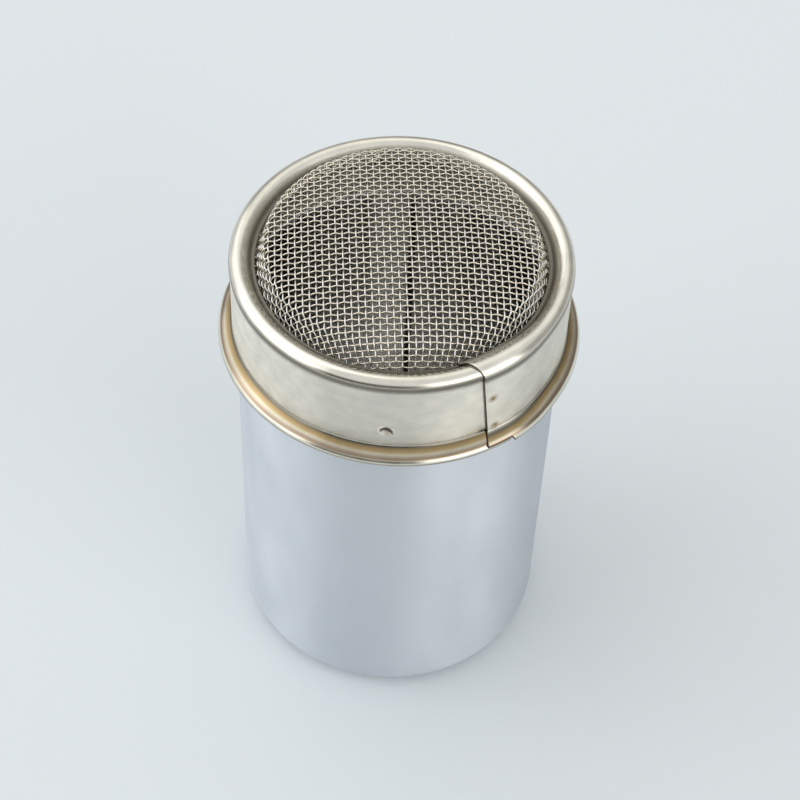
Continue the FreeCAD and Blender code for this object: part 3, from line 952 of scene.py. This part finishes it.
class SHAKER_OT_ring(Operator):
    """Turn the ring that clamps the wire cloth"""
    bl_idname = "shaker.ring"
    bl_label = "Clamp ring"

    def execute(self, context):
        ring = context.scene.shaker_ring
        mesh = turned_mesh("clamp_ring", ring_outline(ring)[::-1], RING_SEGMENTS, True)
        new_piece("clamp_ring", mesh, stamped_ring_steel(ring.tint), "lid", "ring_steel", "mesh_clamp_ring")
        return {"FINISHED"}


# Wire cloth

CLOTH_INPUTS = {
    "NodeSocketFloat": (
        "Wire radius", "Pitch", "Own shift", "Cross shift", "Phase", "Turn", "Top", "Foot",
        "Crown radius", "Crown rise", "Crown power", "Belt width", "Belt rise", "Flange",
    ),
    "NodeSocketInt": ("Softening", "Wires each side", "Steps", "Sides"),
    "NodeSocketMaterial": ("Material",),
}
OUTLINE_POINTS = 240


def cloth_tree():
    """Node tree that lays parallel wires on a dome and weaves them over and under."""
    tree = bpy.data.node_groups.new("Woven dome wires", "GeometryNodeTree")
    for kind, names in CLOTH_INPUTS.items():
        for name in names:
            tree.interface.new_socket(name=name, in_out="INPUT", socket_type=kind)
    tree.interface.new_socket(name="Wires", in_out="OUTPUT", socket_type="NodeSocketGeometry")
    given = add_node(tree, "NodeGroupInput").outputs
    at = add_node(tree, "GeometryNodeInputPosition")
    x, y, z = add_node(tree, "ShaderNodeSeparateXYZ", (at,)).outputs

    # Half the dome's outline: crown, belt and flange, one third of the line each
    stretch = add_node(tree, "GeometryNodeCurvePrimitiveLine")
    many = add_node(tree, "GeometryNodeResampleCurve", {"Curve": stretch, "Count": OUTLINE_POINTS})
    share = add_node(tree, "GeometryNodeSplineParameter").outputs["Factor"]
    along = add_node(tree, "ShaderNodeMath", (share, 3.0), operation="MULTIPLY")
    crown, belt, flange = [
        add_node(tree, "ShaderNodeMath", (along, start), operation="SUBTRACT", use_clamp=True)
        for start in (0.0, 1.0, 2.0)
    ]
    fallen = add_node(tree, "ShaderNodeMath", (crown, given["Crown power"]), operation="POWER")
    radius, drop = [
        add_node(tree, "ShaderNodeVectorMath", [
            add_node(tree, "ShaderNodeCombineXYZ", parts) for parts in pair
        ], operation="DOT_PRODUCT")
        for pair in (
            ((crown, belt, flange), (given["Crown radius"], given["Belt width"], given["Flange"])),
            ((fallen, belt), (given["Crown rise"], given["Belt rise"])),
        )
    ]
    height = add_node(tree, "ShaderNodeMath", (given["Top"], drop), operation="SUBTRACT")
    drawn = add_node(tree, "GeometryNodeSetPosition", {
        "Geometry": many, "Position": add_node(tree, "ShaderNodeCombineXYZ", (radius, 0.0, height)),
    })

    # The fold is softened, but neither the crown's middle nor the corner under the lip
    even = add_node(tree, "GeometryNodeResampleCurve", {"Curve": drawn, "Count": OUTLINE_POINTS})
    half_out = add_node(tree, "ShaderNodeMath", (given["Crown radius"], 0.5), operation="MULTIPLY")
    half_up = add_node(tree, "ShaderNodeMath", (
        given["Belt rise"], 0.5, given["Foot"],
    ), operation="MULTIPLY_ADD")
    outer = add_node(tree, "ShaderNodeMapRange", (x, half_out, given["Crown radius"]))
    upper = add_node(tree, "ShaderNodeMapRange", (z, given["Foot"], half_up))
    softened = add_node(tree, "GeometryNodeBlurAttribute", {
        "Value": at,
        "Iterations": given["Softening"],
        "Weight": add_node(tree, "ShaderNodeMath", (outer, upper), operation="MULTIPLY"),
    }, data_type="FLOAT_VECTOR")
    outline = add_node(tree, "GeometryNodeSetPosition", {"Geometry": even, "Position": softened})

    # Flat cloth: parallel straight lines along x, one point per step
    each_side, pitch, steps = given["Wires each side"], given["Pitch"], given["Steps"]
    reach = add_node(tree, "ShaderNodeMath", (each_side, pitch), operation="MULTIPLY")
    step = add_node(tree, "ShaderNodeMath", (pitch, steps), operation="DIVIDE")
    steps_each_side = add_node(tree, "ShaderNodeMath", (each_side, steps), operation="MULTIPLY")
    line, places = [
        add_node(tree, "GeometryNodeMeshLine", {
            "Count": add_node(tree, "ShaderNodeMath", (count, 2.0, 1.0), operation="MULTIPLY_ADD"),
            "Start Location": add_node(tree, "ShaderNodeCombineXYZ", {
                axis: add_node(tree, "ShaderNodeMath", (shift, reach), operation="SUBTRACT"),
            }),
            "Offset": add_node(tree, "ShaderNodeCombineXYZ", {axis: stride}),
        })
        for axis, shift, stride, count in (
            (0, given["Cross shift"], step, steps_each_side),
            (1, given["Own shift"], pitch, each_side),
        )
    ]
    laid = add_node(tree, "GeometryNodeInstanceOnPoints", {"Points": places, "Instance": line})
    flat = add_node(tree, "GeometryNodeRealizeInstances", (laid,))

    # Cut round, then carried to the dome's section by the way from its top
    away = add_node(tree, "ShaderNodeVectorMath", (at,), operation="LENGTH")
    span = add_node(tree, "GeometryNodeCurveLength", (outline,))
    outside = add_node(tree, "FunctionNodeCompare", (away, span), operation="GREATER_THAN")
    round_cloth = add_node(tree, "GeometryNodeDeleteGeometry", {
        "Geometry": flat, "Selection": outside,
    }, domain="POINT")
    sample = add_node(tree, "GeometryNodeSampleCurve", {
        "Curves": outline, "Length": away,
    }, mode="LENGTH", use_all_curves=False).outputs

    # Woven up and down along the section's normal, then turned to its azimuth
    shifts = add_node(tree, "ShaderNodeCombineXYZ", (given["Cross shift"], given["Own shift"]))
    offset = add_node(tree, "ShaderNodeVectorMath", (at, shifts), operation="SUBTRACT")
    crossings = add_node(tree, "ShaderNodeVectorMath", (offset, pitch), operation="DIVIDE")
    turns = add_node(tree, "ShaderNodeVectorMath", (crossings, (pi, pi, 0.0)), operation="DOT_PRODUCT")
    phase = add_node(tree, "ShaderNodeMath", (turns, given["Phase"]), operation="ADD")
    wave = add_node(tree, "ShaderNodeMath", (phase,), operation="COSINE")
    lift = add_node(tree, "ShaderNodeMath", (wave, given["Wire radius"]), operation="MULTIPLY")
    normal = add_node(tree, "ShaderNodeVectorMath", (
        sample["Tangent"], (0.0, 1.0, 0.0),
    ), operation="CROSS_PRODUCT")
    woven = add_node(tree, "ShaderNodeVectorMath", (
        normal, lift, sample["Position"],
    ), operation="MULTIPLY_ADD")
    azimuth = add_node(tree, "ShaderNodeMath", (y, x), operation="ARCTAN2")
    turned = add_node(tree, "ShaderNodeVectorRotate", {
        "Vector": woven,
        "Angle": add_node(tree, "ShaderNodeMath", (azimuth, given["Turn"]), operation="ADD"),
    }, rotation_type="Z_AXIS")
    domed = add_node(tree, "GeometryNodeSetPosition", {"Geometry": round_cloth, "Position": turned})

    # Round wires along the lines
    paths = add_node(tree, "GeometryNodeMeshToCurve", (domed,))
    ring = add_node(tree, "GeometryNodeCurvePrimitiveCircle", {
        "Resolution": given["Sides"], "Radius": given["Wire radius"],
    })
    wires = add_node(tree, "GeometryNodeCurveToMesh", {
        "Curve": paths, "Profile Curve": ring, "Fill Caps": True,
    })
    soft = add_node(tree, "GeometryNodeSetShadeSmooth", {"Geometry": wires})
    real = add_node(tree, "GeometryNodeRealizeInstances", (soft,))
    painted = add_node(tree, "GeometryNodeSetMaterial", {
        "Geometry": real, "Material": given["Material"],
    })
    add_node(tree, "NodeGroupOutput", (painted,))
    return tree


def settled(piece):
    """Make a piece's modified shape its own plain mesh."""
    bpy.context.view_layer.update()
    graph = bpy.context.evaluated_depsgraph_get()
    mesh = bpy.data.meshes.new_from_object(piece.evaluated_get(graph))
    piece.modifiers.clear()
    piece.data = mesh
    return piece


def wire_layer(name, tree, values):
    """One direction of the cloth's wires, made by the node tree."""
    piece = new_object(name, bpy.data.meshes.new(name))
    weave = piece.modifiers.new("weave", "NODES")
    weave.node_group = tree
    for item in tree.interface.items_tree:
        if item.item_type == "SOCKET" and item.in_out == "INPUT":
            weave[item.identifier] = values[item.name]
    return settled(piece)


class SHAKER_OT_cloth(Operator):
    """Weave the domed wire cloth"""
    bl_idname = "shaker.cloth"
    bl_label = "Wire cloth"

    def execute(self, context):
        cloth = context.scene.shaker_cloth
        tree = cloth_tree()
        rise = cloth.crown_rise + cloth.belt_rise
        top = CLOTH_TOP - cloth.wire
        shared = {
            "Wire radius": cloth.wire / 2,
            "Top": top,
            "Foot": top - rise,
            "Wires each side": ceil((cloth.crown_radius + rise + cloth.flange) / cloth.pitch),
        }
        for name in (
            "Pitch", "Crown radius", "Crown rise", "Crown power", "Belt width", "Belt rise", "Flange",
            "Softening", "Steps", "Sides",
        ):
            shared[name] = getattr(cloth, name.lower().replace(" ", "_"))
        weft, warp = cloth.weft_shift, cloth.warp_shift
        for name, node, own, cross, phase, turn, tint in (
            ("weft_wires", "mesh_weft_wires", weft, -warp, 0.0, 0.0, cloth.weft_tint),
            ("warp_wires", "mesh_warp_wires", warp, weft, pi, pi / 2, cloth.warp_tint),
        ):
            piece = wire_layer(name, tree, {
                **shared,
                "Own shift": own,
                "Cross shift": cross,
                "Phase": phase,
                "Turn": cloth.turn + turn,
                "Material": drawn_wire_steel(name.replace("_wires", " wire steel"), tint),
            })
            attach(piece, "lid")
            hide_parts(node)
        return {"FINISHED"}


# Studio

CAMERA_PLACE = Vector((0.8364, -267.0202, 380.7610)) * MM
SENSOR = 36.0
CLIP_START = 0.01
FLOOR_DROP = 0.02 * MM


def add_floor(studio):
    """A wide level floor of matt pale board just under the cup."""
    material, tree = new_material("pale matt board")
    matt = add_node(tree, "ShaderNodeBsdfDiffuse", {"Color": (*studio.floor, 1.0)})
    add_node(tree, "ShaderNodeOutputMaterial", {"Surface": matt})
    reach = studio.reach
    mesh = bpy.data.meshes.new("studio_floor")
    sides = ((-reach, -reach), (reach, -reach), (reach, reach), (-reach, reach))
    mesh.from_pydata([(x, y, -FLOOR_DROP) for x, y in sides], [], [[0, 1, 2, 3]])
    mesh.materials.append(material)
    floor = new_object("studio_floor", mesh)


# Zones of the room: azimuth, elevation, half width, half height and blur in degrees, colour, strength
ROOM_BASE = "F3F4F4"
ROOM_ZONES = (
    (180, 8, 34, 14, 16, "87837B", 1.0),    # shade at the back
    (-16, 8, 29, 9, 11, "433C34", 1.0),     # dark wall in front
    (-76, 25, 20, 14, 18, "FFFFFF", 2.1),   # window on the left
    (46, 16, 18, 12, 20, "FFFDF8", 2.5),    # window on the right
    (180, 64, 36, 14, 14, "FFFDF6", 1.2),   # light on the ceiling
    (-156, 4, 16, 12, 14, "B8B8B8", 1.0),   # shade on the left
    (122, 10, 34, 18, 16, "B6B5B2", 1.0),   # shade on the right
)
BACKGROUND = "DCE1E4"


def add_room(studio):
    """Soft room light: pale all round, with windows, a ceiling light and darker walls."""
    world = bpy.data.worlds.new("soft studio room")
    bpy.context.scene.world = world
    world.use_nodes = True
    tree = world.node_tree
    tree.nodes.clear()
    place = add_node(tree, "ShaderNodeTexCoord").outputs["Generated"]
    x, y, z = add_node(tree, "ShaderNodeSeparateXYZ", (place,)).outputs
    front = add_node(tree, "ShaderNodeMath", (y, -1.0), operation="MULTIPLY")
    azimuth = add_node(tree, "ShaderNodeMath", (x, front), operation="ARCTAN2")
    elevation = add_node(tree, "ShaderNodeMath", (z,), operation="ARCSINE")
    mixed = paint(ROOM_BASE)
    for turn, rise, half_width, half_height, blur, code, strength in ROOM_ZONES:
        both = add_node(tree, "ShaderNodeMath", (
            near(tree, azimuth, turn, half_width, blur),
            near(tree, elevation, rise, half_height, blur),
        ), operation="MULTIPLY")
        bright = [part * strength for part in linear(code)]
        mixed = layered(tree, mixed, (both, (*bright, 1.0)))
    room = add_node(tree, "ShaderNodeBackground", {"Color": mixed, "Strength": studio.world_strength})
    plain = add_node(tree, "ShaderNodeBackground", {"Color": paint(BACKGROUND), "Strength": 1.0})
    seen = add_node(tree, "ShaderNodeLightPath").outputs["Is Camera Ray"]
    either = add_node(tree, "ShaderNodeMixShader", (seen, room, plain))
    add_node(tree, "ShaderNodeOutputWorld", {"Surface": either})


KEY_PLACE = Vector((-0.72, 0.42, 0.95))
KEY_SIZE = 1.4


def add_key_light(studio):
    """A large softbox that faces the middle of the shaker's lid."""
    lamp = bpy.data.lights.new("key softbox", "AREA")
    lamp.shape = "SQUARE"
    lamp.size = KEY_SIZE
    lamp.energy = studio.key_power
    holder = new_object("key softbox", lamp)
    aim = Vector((0.0, 0.0, CUP_HIGH.z)) - KEY_PLACE
    turn = aim.to_track_quat("-Z", "Y").to_matrix().to_4x4()
    holder.matrix_world = Matrix.Translation(KEY_PLACE) @ turn


def add_camera(studio):
    """Camera at the photographed view: tilted down, then rolled a little."""
    camera = bpy.data.cameras.new("view")
    camera.lens = studio.lens
    camera.sensor_width = SENSOR
    camera.clip_start = CLIP_START
    holder = new_object("view", camera)
    tilt = Matrix.Rotation(pi / 2 - studio.elevation, 4, "X")
    roll = Matrix.Rotation(studio.roll, 4, "Z")
    holder.matrix_world = Matrix.Translation(CAMERA_PLACE) @ tilt @ roll
    bpy.context.scene.camera = holder


class SHAKER_OT_stage(Operator):
    """Set up the floor, the soft light and the camera"""
    bl_idname = "shaker.stage"
    bl_label = "Stage"

    def execute(self, context):
        studio = context.scene.shaker_studio
        context.scene.view_settings.view_transform = "Standard"
        add_floor(studio)
        add_room(studio)
        add_key_light(studio)
        add_camera(studio)
        return {"FINISHED"}


# Panel and registration

OPERATORS = (
    SHAKER_OT_cup,
    SHAKER_OT_band,
    SHAKER_OT_welds,
    SHAKER_OT_ring,
    SHAKER_OT_cloth,
    SHAKER_OT_stage,
)


class VIEW3D_PT_shaker(Panel):
    """Lists the shaker's pieces and their sizes"""
    bl_idname = "VIEW3D_PT_shaker"
    bl_label = "Shaker"
    bl_space_type = "VIEW_3D"
    bl_region_type = "UI"
    bl_category = "Shaker"

    def draw(self, context):
        for operator, (name, group) in zip(OPERATORS, GROUPS.items()):
            box = self.layout.box()
            box.operator(operator.bl_idname)
            for prop in group.__annotations__:
                box.prop(getattr(context.scene, name), prop)


CLASSES = (*GROUPS.values(), *OPERATORS, VIEW3D_PT_shaker)


def register():
    for item in CLASSES:
        bpy.utils.register_class(item)
    for name, group in GROUPS.items():
        setattr(bpy.types.Scene, name, PointerProperty(type=group))


def unregister():
    for name in GROUPS:
        delattr(bpy.types.Scene, name)
    for item in reversed(CLASSES):
        bpy.utils.unregister_class(item)


def main():
    register()
    bpy.ops.shaker.stage()
    bpy.ops.shaker.cup()
    bpy.ops.shaker.band()
    bpy.ops.shaker.welds()
    bpy.ops.shaker.ring()
    bpy.ops.shaker.cloth()


if __name__ == "__main__":
    main()
